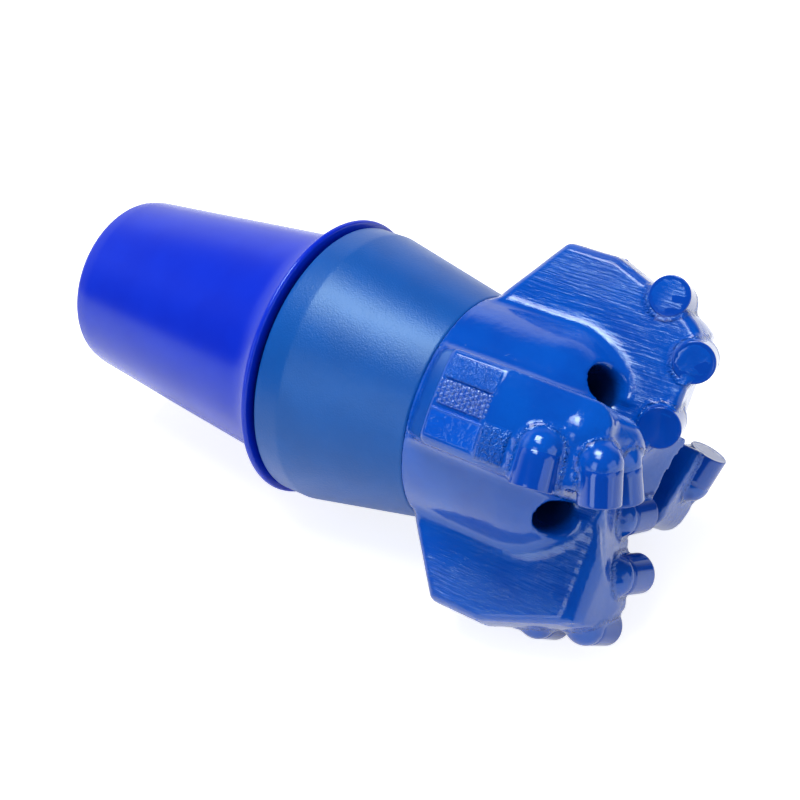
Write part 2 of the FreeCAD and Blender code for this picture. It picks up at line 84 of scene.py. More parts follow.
# Cutter faces: place along the axis, out along the blade, lean of the profile, distance set back, turn in
CUTTERS = {
    "gauge_a": (0.1243, 0.06062, 68.0, 0.0, 16.0),
    "nose_a": (0.141, 0.0415, 6.0, 0.0, 16.0),
    "cone_a": (0.138, 0.0168, -16.0, 0.0, 16.0),
    "gauge_b": (0.120, 0.06062, 68.0, 0.0, 16.0),
    "shoulder_b": (0.139, 0.049, 42.0, 0.0035, 30.0),
    "nose_b": (0.140, 0.0325, 6.0, 0.007, 30.0),
    "gauge_c": (0.1155, 0.06062, 68.0, 0.0, 16.0),
    "shoulder_c": (0.134, 0.055, 42.0, 0.0, 16.0),
    "nose_c": (0.1385, 0.033, 6.0, 0.0, 16.0),
    "cone_c": (0.1315, 0.012, -16.0, 0.0, 16.0),
    "gauge_d": (0.1203, 0.06062, 68.0, 0.0, 16.0),
    "shoulder_d": (0.1353, 0.053, 42.0, 0.0, 16.0),
    "nose_d": (0.141, 0.0365, 6.0, 0.0, 16.0),
}

# Gauge pads: angle of the middle from the blade's middle, and width, in degrees
PADS = {"rear": (-8.75, 6.8), "grit": (-1.2, 7.3), "front": (7.15, 8.4)}
PADS_REAR_EDGE = -12.1
PADS_FRONT_EDGE = 11.3
PAD_START = 0.081
PAD_LENGTH = 0.0195
PAD_DEPTH = 0.004

# Waterways: middle of the mouth along the axis and out from it, tilt out from the axis, radius
WATERWAY_ALONG = 0.115
WATERWAY_OUT = 0.032
WATERWAY_TILT = math.radians(36.0)
WATERWAY_RADIUS = 0.0084


# Shapes and numbers

def arc(centre, radius, start, end, steps):
    """Points on a circle from one angle to another, in degrees: centre + radius (cos t, sin t)."""
    turn = np.radians(np.linspace(start, end, steps))
    return np.column_stack([centre[0] + radius * np.cos(turn), centre[1] + radius * np.sin(turn)])


# Outer outline of the crown as (along, radius)
HEEL = [(NECK_ALONG, NECK_RADIUS), (0.0615, NECK_RADIUS)]
GAUGE = [(0.0805, GAUGE_RADIUS), (0.101, GAUGE_RADIUS)]
SHOULDER = arc((0.12558, 0.04395), 0.016, 70.2, 5.6, 12)
INNER_CONE = [(0.141, 0.030), (0.128, 0.0)]
CROWN_OUTLINE = np.vstack([HEEL, GAUGE, SHOULDER, INNER_CONE])


def ease(value, low, high):
    """0 below low, 1 above high, and 3t^2 - 2t^3 between."""
    share = np.clip((value - low) / (high - low), 0.0, 1.0)
    return share * share * (3.0 - 2.0 * share)


def between(value, low, high, after_low, after_high):
    """Rises from 0 to 1 from low to high and falls back to 0 from after_low to after_high."""
    return ease(value, low, high) * (1.0 - ease(value, after_low, after_high))


def lattice_noise(points, size, seed):
    """Smooth noise from -1 to 1: values on a lattice of the given size, blended with 3t^2 - 2t^3."""
    count = 64
    values = np.random.default_rng(seed).uniform(-1.0, 1.0, (count, count, count))
    place = points / np.asarray(size)
    cell = np.floor(place).astype(int)
    part = place - cell
    part = part * part * (3.0 - 2.0 * part)
    total = np.zeros(len(points))
    for corner in range(8):
        step = np.array([corner & 1, corner >> 1 & 1, corner >> 2 & 1])
        weight = np.prod(np.where(step, part, 1.0 - part), axis=1)
        index = (cell + step) % count
        total += weight * values[index[:, 0], index[:, 1], index[:, 2]]
    return total


# Meshes from arrays

def mesh_from(name, points, *faces, smooth=True):
    """Mesh object from an array of points and arrays of faces, one for each number of corners."""
    mesh = bpy.data.meshes.new(name)
    mesh.from_pydata(points.reshape(-1, 3).tolist(), [], sum((group.tolist() for group in faces), []))
    mesh.polygons.foreach_set("use_smooth", np.full(len(mesh.polygons), smooth))
    mesh.update()
    piece = bpy.data.objects.new(name, mesh)
    bpy.context.scene.collection.objects.link(piece)
    return piece


def mesh_triangles(mesh):
    """A mesh's points and triangles as arrays."""
    mesh.calc_loop_triangles()
    points = np.empty(len(mesh.vertices) * 3)
    mesh.vertices.foreach_get("co", points)
    triangles = np.empty(len(mesh.loop_triangles) * 3, dtype=np.int64)
    mesh.loop_triangles.foreach_get("vertices", triangles)
    return points.reshape(-1, 3), triangles.reshape(-1, 3)


def volume_sixfold(points, triangles):
    """Six times the volume that closed triangles hold, below zero where they face inwards."""
    corners = points[triangles]
    return np.einsum("ij,ij->", corners[:, 0], np.cross(corners[:, 1], corners[:, 2]))


def outward(piece):
    """The piece, its faces turned round where they face inwards."""
    if volume_sixfold(*mesh_triangles(piece.data)) < 0:
        piece.data.flip_normals()
    return piece


def grid_faces(rows, columns, wrap_rows=False, wrap_columns=False):
    """Quads of a grid of rows by columns of points, closed on itself where it wraps."""
    row = np.arange(rows if wrap_rows else rows - 1)[:, None]
    column = np.arange(columns if wrap_columns else columns - 1)[None, :]
    here = row * columns + column
    right = row * columns + (column + 1) % columns
    below = ((row + 1) % rows) * columns + column
    across = ((row + 1) % rows) * columns + (column + 1) % columns
    return np.stack([here, right, across, below], axis=-1).reshape(-1, 4)


def poled_tube(rings, first, last):
    """Points, quads and end triangles of a tube: rows of ring points, with a pole to close each end."""
    rows, columns = rings.shape[:2]
    column = np.arange(columns)
    after = (column + 1) % columns
    end = (rows - 1) * columns
    pole = np.full(columns, rows * columns)
    start_fan = np.column_stack([pole, after, column])
    end_fan = np.column_stack([pole + 1, end + column, end + after])
    points = np.vstack([rings.reshape(-1, 3), [first, last]])
    return points, grid_faces(rows, columns, wrap_columns=True), np.vstack([start_fan, end_fan])


def turned(profile, segments, offset):
    """Ring points of a turned piece, each (along, radius) of the profile taken once round the X axis.

    Point (i, j) is (along_i, radius_i cos t_j, radius_i sin t_j), t_j going round in equal steps.
    offset(along, radius, t) adds to the radius.
    """
    turn = np.linspace(0.0, 2.0 * math.pi, segments, endpoint=False)
    along = np.repeat(profile[:, :1], segments, axis=1)
    radius = np.repeat(profile[:, 1:], segments, axis=1)
    radius = radius + offset(along, radius, turn[None, :])
    return np.stack([along, radius * np.cos(turn), radius * np.sin(turn)], axis=-1)


def ringed(middle, distance, radius, segments, axis, side, other):
    """Ring points about any axis: middle + distance_i axis + radius_i (side cos t_j + other sin t_j)."""
    turn = np.linspace(0.0, 2.0 * math.pi, segments, endpoint=False)[None, :, None]
    spokes = np.cos(turn) * side + np.sin(turn) * other
    return middle + distance[:, None, None] * axis + radius[:, None, None] * spokes


# Places on the blades

def blade_axes(blade):
    """Directions out along a blade and forwards, square to its leading face."""
    turn = math.radians(BLADES[blade])
    return np.array([0.0, math.cos(turn), math.sin(turn)]), np.array([0.0, -math.sin(turn), math.cos(turn)])


def blade_place(blade, along, out, ahead):
    """Points from distances along the axis, out along a blade and ahead of its middle plane."""
    outwards, forward = blade_axes(blade)
    along, out, ahead = (np.asarray(part)[..., None] for part in (along, out, ahead))
    return along * np.array([1.0, 0.0, 0.0]) + outwards * out + forward * ahead


def cutter_frame(name):
    """Middle of a cutter's face and the direction it faces: forwards, turned in and raked back."""
    along, out, lean, back, turn_in = CUTTERS[name]
    outwards, forward = blade_axes(name[-1])
    lean = math.radians(lean)
    turn_in = math.radians(turn_in)
    to_rock = np.array([math.cos(lean), 0.0, 0.0]) + outwards * math.sin(lean)
    onward = forward * math.cos(turn_in) - outwards * math.sin(turn_in)
    facing = onward * math.cos(BACK_RAKE) + to_rock * math.sin(BACK_RAKE)
    facing /= np.linalg.norm(facing)
    return blade_place(name[-1], along, out, HALF_BLADE + CUTTER_STAND - back), facing


def near_cutters(points):
    """Distance of each point from the nearest cutter's axis, or past its end from the axis's end."""
    nearest = np.full(len(points), 1.0)
    for name in CUTTERS:
        face, facing = cutter_frame(name)
        offset = points - face
        along = offset @ facing
        radial = np.linalg.norm(offset - along[:, None] * facing, axis=1)
        past = np.maximum(0.0, np.maximum(along, -along - CUTTER_LENGTH))
        nearest = np.minimum(nearest, np.hypot(radial, past))
    return nearest


def waterway_depth(points):
    """1 inside a waterway below its mouth, 0 outside of the holes, and rising from 0 at the mouth."""
    deepest = np.zeros(len(points))
    for turn in np.radians([0.0, 90.0, 180.0, 270.0]):
        outwards = np.array([0.0, math.cos(turn), math.sin(turn)])
        direction = np.array([math.cos(WATERWAY_TILT), 0.0, 0.0]) + outwards * math.sin(WATERWAY_TILT)
        offset = points - (np.array([WATERWAY_ALONG, 0.0, 0.0]) + outwards * WATERWAY_OUT)
        down = -offset @ direction
        beside = np.linalg.norm(offset + down[:, None] * direction, axis=1)
        inside = 1.0 - ease(beside, WATERWAY_RADIUS, WATERWAY_RADIUS + 0.0006)
        deepest = np.maximum(deepest, inside * ease(down, -0.003, 0.002))
    return deepest


def pad_places(points):
    """Angle from the nearest blade's middle, in degrees, and depth under the gauge circle."""
    angle = np.degrees(np.arctan2(points[:, 2], points[:, 1]))
    return angle % 90.0 - BLADES["a"], GAUGE_RADIUS - np.hypot(points[:, 1], points[:, 2])


# The turned pieces

def make_cap():
    """Moulded cap: cone, flare to a flat lip with a rolled edge, and the hollow over the pin.

    The flare is a quadratic curve (1-s)^2 start + 2s(1-s) knee + s^2 end.
    """
    lip_front = -0.0014
    lip_back = -0.0040
    lip_round = 0.00125
    clearance = 0.0003
    round_middle = (-CAP_LENGTH + CAP_END_ROUND, CAP_END_RADIUS - CAP_END_ROUND)
    flat = np.column_stack([np.full(8, -CAP_LENGTH), np.linspace(0.004, round_middle[1], 8)])
    end = np.vstack([[(-CAP_LENGTH, 0.0)], flat, arc(round_middle, CAP_END_ROUND, 168, 96, 9)])
    cone_along = np.linspace(-CAP_LENGTH + 0.006, -0.0165, 40)
    slope = (CAP_SKIRT_RADIUS - CAP_END_RADIUS) / (CAP_LENGTH - 0.0135)
    cone = np.column_stack([cone_along, CAP_END_RADIUS + slope * (cone_along + CAP_LENGTH)])
    share = np.linspace(0.0, 1.0, 14)[1:, None]
    knee = np.array([-0.0085, CAP_SKIRT_RADIUS + 0.0006])
    flare_end = np.array([lip_back - 0.0003, 0.0524])
    flare = (1 - share) ** 2 * cone[-1] + 2 * share * (1 - share) * knee + share ** 2 * flare_end
    lip = arc((lip_front - lip_round, CAP_LIP_RADIUS - lip_round), lip_round, 175, -5, 14)
    hollow_end = -CAP_LENGTH + CAP_WALL
    mouth = np.array([
        (lip_front, SHANK_RADIUS), (lip_front, 0.0515),
        (lip_front - 0.0002, 0.0498), (lip_front - 0.0012, 0.0492),
        (lip_front - 0.007, PIN_BASE_RADIUS - PIN_SLOPE * 0.0084 + clearance),
        (hollow_end, PIN_BASE_RADIUS + PIN_SLOPE * hollow_end + clearance),
        (hollow_end, 0.0),
    ])

    def moulding(along, radius, turn):
        """Slight ovality and sink of a moulded wall: a cosine twice round and one three times round."""
        share = ease(-along, 0.008, 0.03)
        return share * (0.00012 * np.cos(2 * turn + 0.6) + 0.00006 * np.cos(3 * turn - 1.0 + along * 60.0))

    profile = np.vstack([end, cone, flare, lip, mouth])
    first, last = (np.array([along, 0.0, 0.0]) for along in profile[[0, -1], 0])
    points, quads, fans = poled_tube(turned(profile[1:-1], 256, moulding), first, last)
    return outward(mesh_from("thread_protector_cap", points, quads, fans))


def make_shank():
    """Turned shank: band, cone and joint groove outside; pin with its thread inside the cap.

    On the pin, the radius falls with a triangle wave of the thread's pitch, moved on by the turn.
    """
    bevel = 0.0016
    bore_bevel = 0.001
    pin_along = np.linspace(-PIN_LENGTH + 0.003, -0.012, 260)
    pin = np.column_stack([pin_along, PIN_BASE_RADIUS + PIN_SLOPE * pin_along])
    cone_along = np.linspace(BAND_LENGTH + 0.0004, NECK_ALONG - 0.0012, 60)
    cone_slope = (SHANK_RADIUS - NECK_RADIUS) / (NECK_ALONG - BAND_LENGTH)
    cone = np.column_stack([cone_along, SHANK_RADIUS - cone_slope * (cone_along - BAND_LENGTH)])
    outer = np.vstack([
        [(-PIN_LENGTH, BORE_RADIUS + bore_bevel), (-PIN_LENGTH, PIN_NOSE_RADIUS - 0.002)],
        pin,
        [(-0.009, PIN_BASE_RADIUS - 0.0011), (-0.0005, PIN_BASE_RADIUS), (0.0, PIN_BASE_RADIUS + 0.0006)],
        [(0.0, 0.0475), (0.0, SHANK_RADIUS - bevel - 0.0003), (0.0002, SHANK_RADIUS - bevel)],
        [(bevel - 0.0002, SHANK_RADIUS - 0.0001), (bevel + 0.0002, SHANK_RADIUS)],
        np.column_stack([np.linspace(0.003, BAND_LENGTH - 0.0003, 8), np.full(8, SHANK_RADIUS)]),
        cone,
        [(NECK_ALONG - 0.0003, NECK_RADIUS + 0.0001), (NECK_ALONG - 0.0001, NECK_RADIUS - 0.0003)],
        [(NECK_ALONG, NECK_RADIUS - 0.0012), (NECK_ALONG, BORE_RADIUS + bore_bevel)],
        [(NECK_ALONG - bore_bevel, BORE_RADIUS), (0.0, BORE_RADIUS)],
        [(-PIN_LENGTH + bore_bevel, BORE_RADIUS)],
    ])

    def thread(along, radius, turn):
        """Triangle wave, 0 at the crest and the depth at the root, one pitch on for each turn."""
        phase = (along / THREAD_PITCH + turn / (2.0 * math.pi)) % 1.0
        on_pin = ease(-along, 0.011, 0.016) * ease(PIN_LENGTH - 0.002 + along, 0.0, 0.004)
        outside = ease(radius, BORE_RADIUS + 0.004, BORE_RADIUS + 0.006)
        return -THREAD_DEPTH * np.abs(2.0 * phase - 1.0) * on_pin * outside

    rings = turned(outer, 256, thread)
    faces = grid_faces(*rings.shape[:2], wrap_rows=True, wrap_columns=True)
    return outward(mesh_from("shank_turned", rings, faces))


def make_cutter(name):
    """Brazed cutter under paint: a short cylinder with a rounded rim and a flat face.

    The profile runs from the middle of the back to the middle of the face; it is turned about its
    own axis and laid along the direction in which the cutter faces.
    """
    face, facing = cutter_frame(name)
    paint_film = 0.00012
    radius = CUTTER_RADIUS + paint_film
    rim = 0.00045
    back = [(-CUTTER_LENGTH + 0.0004, 0.002), (-CUTTER_LENGTH + 0.0004, radius - 0.0006)]
    side_places = [-CUTTER_LENGTH + 0.001, -0.010, -0.007, -0.004, -0.002, -0.0012]
    wall = [(place, radius) for place in side_places]
    flat = np.column_stack([np.full(6, 0.00004), np.linspace(radius - rim - 0.0004, 0.0006, 6)])
    profile = np.vstack([back, wall, arc((-rim + paint_film, radius - rim), rim, 90, 0, 8), flat])
    side = np.cross(facing, [1.0, 0.0, 0.0])
    side /= np.linalg.norm(side)
    rings = ringed(face, profile[:, 0], profile[:, 1], 72, facing, side, np.cross(side, facing))
    points, quads, fans = poled_tube(rings, face + profile[0, 0] * facing, face + profile[-1, 0] * facing)
    return outward(mesh_from(f"cutter_{name}_painted", points, quads, fans))


# Tools for the crown's surface

def node_mesh(names):
    """Points and triangles of several CAD nodes, with the points that lie together made one."""
    points, triangles, base = [], [], 0
    for name in names:
        here, corners = mesh_triangles(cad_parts[name].data)
        rounded, index = np.unique(np.round(here, 7), axis=0, return_inverse=True)
        corners = index.reshape(-1)[corners]
        whole = np.all(corners != np.roll(corners, 1, axis=1), axis=1)
        points.append(rounded)
        triangles.append(corners[whole] + base)
        base += len(rounded)
    return np.vstack(points), np.vstack(triangles)


def remeshed(points, triangles):
    """Even quads over the union of closed meshes, as arrays of points and faces."""
    source = mesh_from("union_source", points, triangles, smooth=False)
    remesh = source.modifiers.new("union", "REMESH")
    remesh.mode = "VOXEL"
    remesh.voxel_size = CROWN_VOXEL
    remesh.adaptivity = 0.0
    graph = bpy.context.evaluated_depsgraph_get()
    result = source.evaluated_get(graph).to_mesh()
    found = np.empty(len(result.vertices) * 3)
    result.vertices.foreach_get("co", found)
    quads = np.empty(len(result.loops), dtype=np.int64)
    result.loops.foreach_get("vertex_index", quads)
    source.evaluated_get(graph).to_mesh_clear()
    bpy.data.objects.remove(source)
    return found.reshape(-1, 3), quads.reshape(-1, 4)


def quad_edges(quads):
    """Each edge of the quads once, as pairs of point numbers."""
    sides = np.vstack([quads[:, [corner, (corner + 1) % 4]] for corner in range(4)])
    return np.unique(np.sort(sides, axis=1), axis=0)


def neighbour_mean(values, edges):
    """Mean over each point's neighbours, column by column."""
    count = len(values)
    total = np.empty(values.shape)
    for column in range(values.shape[1]):
        total[:, column] = (np.bincount(edges[:, 0], values[edges[:, 1], column], count)
                            + np.bincount(edges[:, 1], values[edges[:, 0], column], count))
    return total / np.bincount(edges.ravel(), minlength=count)[:, None]


def relaxed(points, edges, shares):
    """Points moved by each share in turn of the way to their neighbours' mean, away from it below 0."""
    for share in shares:
        points = points + share * (neighbour_mean(points, edges) - points)
    return points


def softened(points, edges, steps):
    """Sharp edges and corners worn round: each point moves to its neighbours' mean by its own curvature.

    The share is 0 where that mean lies under 6 hundredths of a voxel away and a half above 20.
    """
    for _ in range(steps):
        gap = neighbour_mean(points, edges) - points
        bend = np.linalg.norm(gap, axis=1, keepdims=True) / CROWN_VOXEL
        points = points + neighbour_mean(0.5 * ease(bend, 0.06, 0.20), edges) * gap
    return points


def point_normals(points, quads):
    """Unit normals from the cross product of each quad's diagonals."""
    across = np.cross(points[quads[:, 2]] - points[quads[:, 0]], points[quads[:, 3]] - points[quads[:, 1]])
    normals = np.zeros_like(points)
    for corner in range(4):
        for column in range(3):
            normals[:, column] += np.bincount(quads[:, corner], across[:, column], len(points))
    return normals / np.maximum(np.linalg.norm(normals, axis=1, keepdims=True), 1e-12)


def inside_outline(along, radius):
    """Distance in from the crown's turned outline, and the outline's normal there."""
    best = np.full(len(along), 1.0)
    normal = np.zeros((len(along), 2))
    for start, end in zip(CROWN_OUTLINE[:-1], CROWN_OUTLINE[1:]):
        length = np.linalg.norm(end - start)
        direction = (end - start) / length
        share = ((along - start[0]) * direction[0] + (radius - start[1]) * direction[1]) / length
        near = start + np.clip(share, 0.0, 1.0)[:, None] * (end - start)
        gap = np.column_stack([along, radius]) - near
        out = np.array([-direction[1], direction[0]])
        distance = np.linalg.norm(gap, axis=1)
        better = distance < np.abs(best)
        best = np.where(better, np.where(gap @ out > 0, -distance, distance), best)
        normal[better] = out
    return best, normal


def rounded_edges(points, leading, trailing):
    """Blade edges rolled over: a point within a round's radius of both faces moves onto its arc.

    With u and v the depths under the two faces and c the radius, the point (c - u, c - v) is
    scaled to length c. Nothing moves beside a cutter, and at the nose the trailing edge stays.
    """
    root = 0.022
    proud = 0.0008
    trailing_end = 0.1295
    under, normal = inside_outline(points[:, 0], np.hypot(points[:, 1], points[:, 2]))
    free = ease(near_cutters(points), 0.0082, 0.0096)
    moved = points.copy()
    for blade in BLADES:
        outwards, forward = blade_axes(blade)
        ahead = points @ forward
        on_blade = (points @ outwards > root) & (np.abs(ahead) < HALF_BLADE + 0.0015)
        for side, rounding in ((1.0, leading), (-1.0, trailing)):
            beside = HALF_BLADE - side * ahead
            pick = on_blade & (beside < rounding) & (under < rounding) & (under > -proud) & (beside > -0.001)
            if side < 0:
                pick &= points[:, 0] < trailing_end
            u = np.clip(beside[pick], 0.0, None)
            v = np.clip(under[pick], 0.0, None)
            scale = np.minimum(1.0, rounding / np.maximum(np.hypot(rounding - u, rounding - v), 1e-9))
            move_side = (rounding - u) * (1.0 - scale)
            move_under = (rounding - v) * (1.0 - scale)
            radial = points[pick] * np.array([0.0, 1.0, 1.0])
            radial /= np.maximum(np.linalg.norm(radial, axis=1, keepdims=True), 1e-9)
            down = -normal[pick][:, :1] * np.array([[1.0, 0.0, 0.0]]) - normal[pick][:, 1:] * radial
            shift = -side * forward[None, :] * move_side[:, None] + down * move_under[:, None]
            moved[pick] += shift * free[pick][:, None]
    return moved


def facing_out(points, triangles):
    """The points, and the triangles turned round where they face inwards."""
    return points, triangles if volume_sixfold(points, triangles) > 0 else triangles[:, ::-1]


def rear_corner(blade):
    """Rounded rear corner of a blade's crest: a bar along the blade, its section a quarter of a disc.

    Its outer end follows the turned outline, sqrt(radius(along)^2 - backwards^2), and its inner end
    the throat's rounding or the deep cone.
    """
    round_middle = (0.1272, 0.0077)
    round_radius = 0.009
    core_out = 0.0185
    throat_middle = (0.0384, 0.0055)
    throat_radius = 0.011
    cone_along = [0.1275, 0.131, 0.1396]
    cone_out = [core_out, 0.0229, 0.0464]
    section = arc(round_middle, round_radius, 11.6, 78.4, 10)
    section = np.vstack([section, [(0.1285, 0.0160), (0.1285, 0.0095)]])
    along, backwards = section[:, 0], section[:, 1]
    outer = np.sqrt(np.interp(along, SHOULDER[:, 0], SHOULDER[:, 1]) ** 2 - backwards ** 2) - 0.0004
    inner = np.full(len(along), core_out)
    if blade in "bd":
        inner = throat_middle[0] - np.sqrt(throat_radius ** 2 - (backwards - throat_middle[1]) ** 2)
    if blade == "c":
        inner = np.maximum(inner, np.interp(along, cone_along, cone_out))
    points = np.vstack([blade_place(blade, along, out, -backwards) for out in (inner, outer)])
    count = len(along)
    here = np.arange(count)
    after = np.roll(here, -1)
    walls = np.column_stack([here, after, after + count, here, after + count, here + count]).reshape(-1, 3)
    fan = np.column_stack([np.full(count - 2, count - 1), here[:-2], here[1:-1]])
    return facing_out(points, np.vstack([walls, fan[:, ::-1], fan + count]))


def thumb():
    """Round inner end of blade b, a ball swept along a line: rings of half circles between two poles."""
    ball = 0.0115
    behind = 0.0045
    start = blade_place("b", 0.1310, 0.0360, -behind)
    end = blade_place("b", 0.1250, 0.0500, -behind)
    length = np.linalg.norm(end - start)
    axis = (end - start) / length
    side = np.cross(axis, blade_axes("b")[1])
    side /= np.linalg.norm(side)
    tip = np.radians(np.linspace(5.0, 90.0, 10))
    along = np.concatenate([-ball * np.cos(tip), length + ball * np.cos(tip[::-1])])
    radius = np.concatenate([ball * np.sin(tip), ball * np.sin(tip[::-1])])
    rings = ringed(start, along, radius, 40, axis, side, np.cross(axis, side))
    points, quads, fans = poled_tube(rings, start - ball * axis, end + ball * axis)
    return facing_out(points, np.vstack([quads[:, [0, 1, 2]], quads[:, [0, 2, 3]], fans]))


# The cast crown and its pads

def crown_surface():
    """Points and quads of the crown: the CAD solids joined and evened out, their edges rolled over."""
    names = ["crown"] + [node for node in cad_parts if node.startswith(("cutter_", "gauge_"))]
    points, triangles = node_mesh(names)
    for added_points, added_triangles in [rear_corner(blade) for blade in BLADES] + [thumb()]:
        triangles = np.vstack([triangles, added_triangles + len(points)])
        points = np.vstack([points, added_points])
    points, quads = remeshed(points, triangles)
    edges = quad_edges(quads)
    points = relaxed(points, edges, [0.5, -0.52] * 6)
    points = rounded_edges(points, leading=0.0028, trailing=0.0020)
    points = softened(points, edges, 5)
    points = relaxed(points, edges, [0.5, -0.51] * 4)
    seam = between(near_cutters(points), 0.0074, 0.0079, 0.0088, 0.0105) * (points[:, 0] > CUTTERS_START)
    return relaxed(points, edges, [0.5 * seam[:, None]] * 12), quads


def make_crown():
    """Cast crown under thick paint: slow waves, brush marks and weld lumps as heights along the normals.

    The skin sinks under the gauge pads, the foot stays a crisp circle, and masks for the paint are
    kept as attributes, among them where painted shade darkens the seams round the cutters and the holes.
    """
    pocket_depth = 0.0008
    points, quads = crown_surface()
    normals = point_normals(points, quads)
    radius = np.hypot(points[:, 1], points[:, 2])
    off, depth = pad_places(points)
    pad_end = PAD_START + PAD_LENGTH
    sink = (np.abs(depth) < 0.0012) * between(points[:, 0], PAD_START + 0.0006, PAD_START + 0.0016,
                                              pad_end - 0.0016, pad_end - 0.0006)
    sink = sink * between(off, PADS_REAR_EDGE + 0.7, PADS_REAR_EDGE + 1.4,
                          PADS_FRONT_EDGE - 1.4, PADS_FRONT_EDGE - 0.7)
    beside = near_cutters(points)
    weld = between(beside, 0.0079, 0.0083, 0.0090, 0.0105) * (points[:, 0] > CUTTERS_START)
    flats = [np.abs(np.abs(points @ blade_axes(blade)[1]) - HALF_BLADE) for blade in "ab"]
    on_face = np.exp(-(np.minimum(*flats) / 0.0008) ** 2)

    slow = 0.00012 * lattice_noise(points, 0.011, 3)
    brushed = 0.00011 * lattice_noise(points, (0.014, 0.0016, 0.0016), 5) * on_face
    lumps = 0.00030 * lattice_noise(points, 0.0019, 7) * weld
    height = slow + brushed + lumps - pocket_depth * sink
    height = np.where(points[:, 0] < NECK_ALONG + 0.0004, 0.0, height)
    points = points + normals * height[:, None]
    points[:, 0] = np.maximum(points[:, 0], NECK_ALONG)
    at_foot = (points[:, 0] < NECK_ALONG + 0.0009) & (radius > NECK_RADIUS - 0.0016)
    points[at_foot, 1:] *= (NECK_RADIUS / radius[at_foot])[:, None]

    along = points[:, 0]
    plenum = (1.0 - ease(radius, 0.020, 0.022)) * (along < 0.095)
    masks = {
        "streak": on_face * (0.35 + 0.65 * ease(radius, 0.050, 0.062)),
        "leather": ((depth < 0.003) * between(along, 0.1005, 0.1015, 0.109, 0.112)
                    * between(off, 2.0, 4.0, 12.0, 13.0)),
        # Seams round the cutters: a paint crack, with painted shade darkening it.
        "crack_and_seam_shade": between(beside, 0.0079, 0.0082, 0.0085, 0.0093) * (along > CUTTERS_START),
        # Painted shade in the waterways and the bore, rising deeper in.
        "inner": np.maximum(waterway_depth(points), plenum),
    }
    crown = mesh_from("crown_cast", points, quads)
    for label, values in masks.items():
        layer = crown.data.attributes.new(label, "FLOAT", "POINT")
        layer.data.foreach_set("value", values.astype(np.float32))
    return outward(crown)


def pad_relief(kind, from_start, arc_length, half_width, seed):
    """Height of a pad's outer face over the gauge circle.

    rear is finely creased, grit carries rows of round beads on a staggered grid beside a groove, and
    front is smooth, with a ridge along the side that meets the beads.
    """
    from_start, arc_length = np.broadcast_arrays(from_start, arc_length)
    flat = np.stack([from_start, arc_length, np.zeros(from_start.shape)], axis=-1).reshape(-1, 3)

    def noise(size, number):
        """Smooth noise over the pad."""
        return lattice_noise(flat, size, number).reshape(from_start.shape)

    edge = np.minimum(np.minimum(from_start, PAD_LENGTH - from_start), half_width - np.abs(arc_length))
    roll = -0.00035 * (1.0 - ease(edge, 0.0, 0.0007))
    if kind == "rear":
        return 0.00028 + 0.00007 * noise((0.0011, 0.0022, 1.0), seed) + roll
    if kind == "front":
        ridge = np.exp(-((arc_length + half_width - 0.0006) / 0.00035) ** 2)
        return 0.00030 + 0.00005 * noise((0.004, 0.004, 1.0), seed) + roll + 0.00042 * ridge
    pitch = 0.0020
    row_pitch = pitch * 0.87
    drift = 0.00035 * noise(0.0030, seed + 40)
    row = np.round((from_start + drift) / row_pitch)
    place = (arc_length - drift) / pitch - 0.5 * (row % 2)
    across = (place - np.round(place)) * pitch
    down = from_start + drift - row * row_pitch
    size = 0.00084 + 0.00016 * noise(0.0022, seed)
    bead = np.sqrt(np.clip(1.0 - (across ** 2 + down ** 2) / size ** 2, 0.0, None)) * size
    groove = 1.0 - ease(half_width - arc_length, 0.0003, 0.0010)
    return -0.00015 + bead * 0.75 * (1.0 - groove) + roll * 0.4 - 0.0006 * groove


def make_pad(blade, kind):
    """Gauge pad: a closed slab bent round the axis, its outer face a height over angle and length."""
    middle, width = PADS[kind]
    rows, columns = (156, 72) if kind == "grit" else (60, 30)
    half_width = np.radians(width / 2) * GAUGE_RADIUS
    along = np.linspace(PAD_START, PAD_START + PAD_LENGTH, rows)[:, None]
    off = np.linspace(middle - width / 2, middle + width / 2, columns)[None, :]
    arc_length = np.radians(off - middle) * GAUGE_RADIUS
    height = pad_relief(kind, along - PAD_START, arc_length, half_width, 11 + ord(blade))
    turn = np.radians(BLADES[blade] + off)
    layers = []
    for radius in (GAUGE_RADIUS - PAD_DEPTH, GAUGE_RADIUS + height):
        layer = np.broadcast_arrays(along, radius * np.cos(turn), radius * np.sin(turn))
        layers.append(np.stack(layer, axis=-1).reshape(-1, 3))
    count = rows * columns
    top = grid_faces(rows, columns) + count
    bottom = grid_faces(rows, columns)[:, ::-1]
    index = np.arange(count).reshape(rows, columns)
    loop = np.concatenate([index[0, :], index[1:, -1], index[-1, -2::-1], index[-2:0:-1, 0]])
    after = np.roll(loop, -1)
    walls = np.column_stack([loop, after, after + count, loop + count])
    return outward(mesh_from(f"gauge_{kind}_pad_{blade}_painted", np.vstack(layers), top, bottom, walls))


# Materials

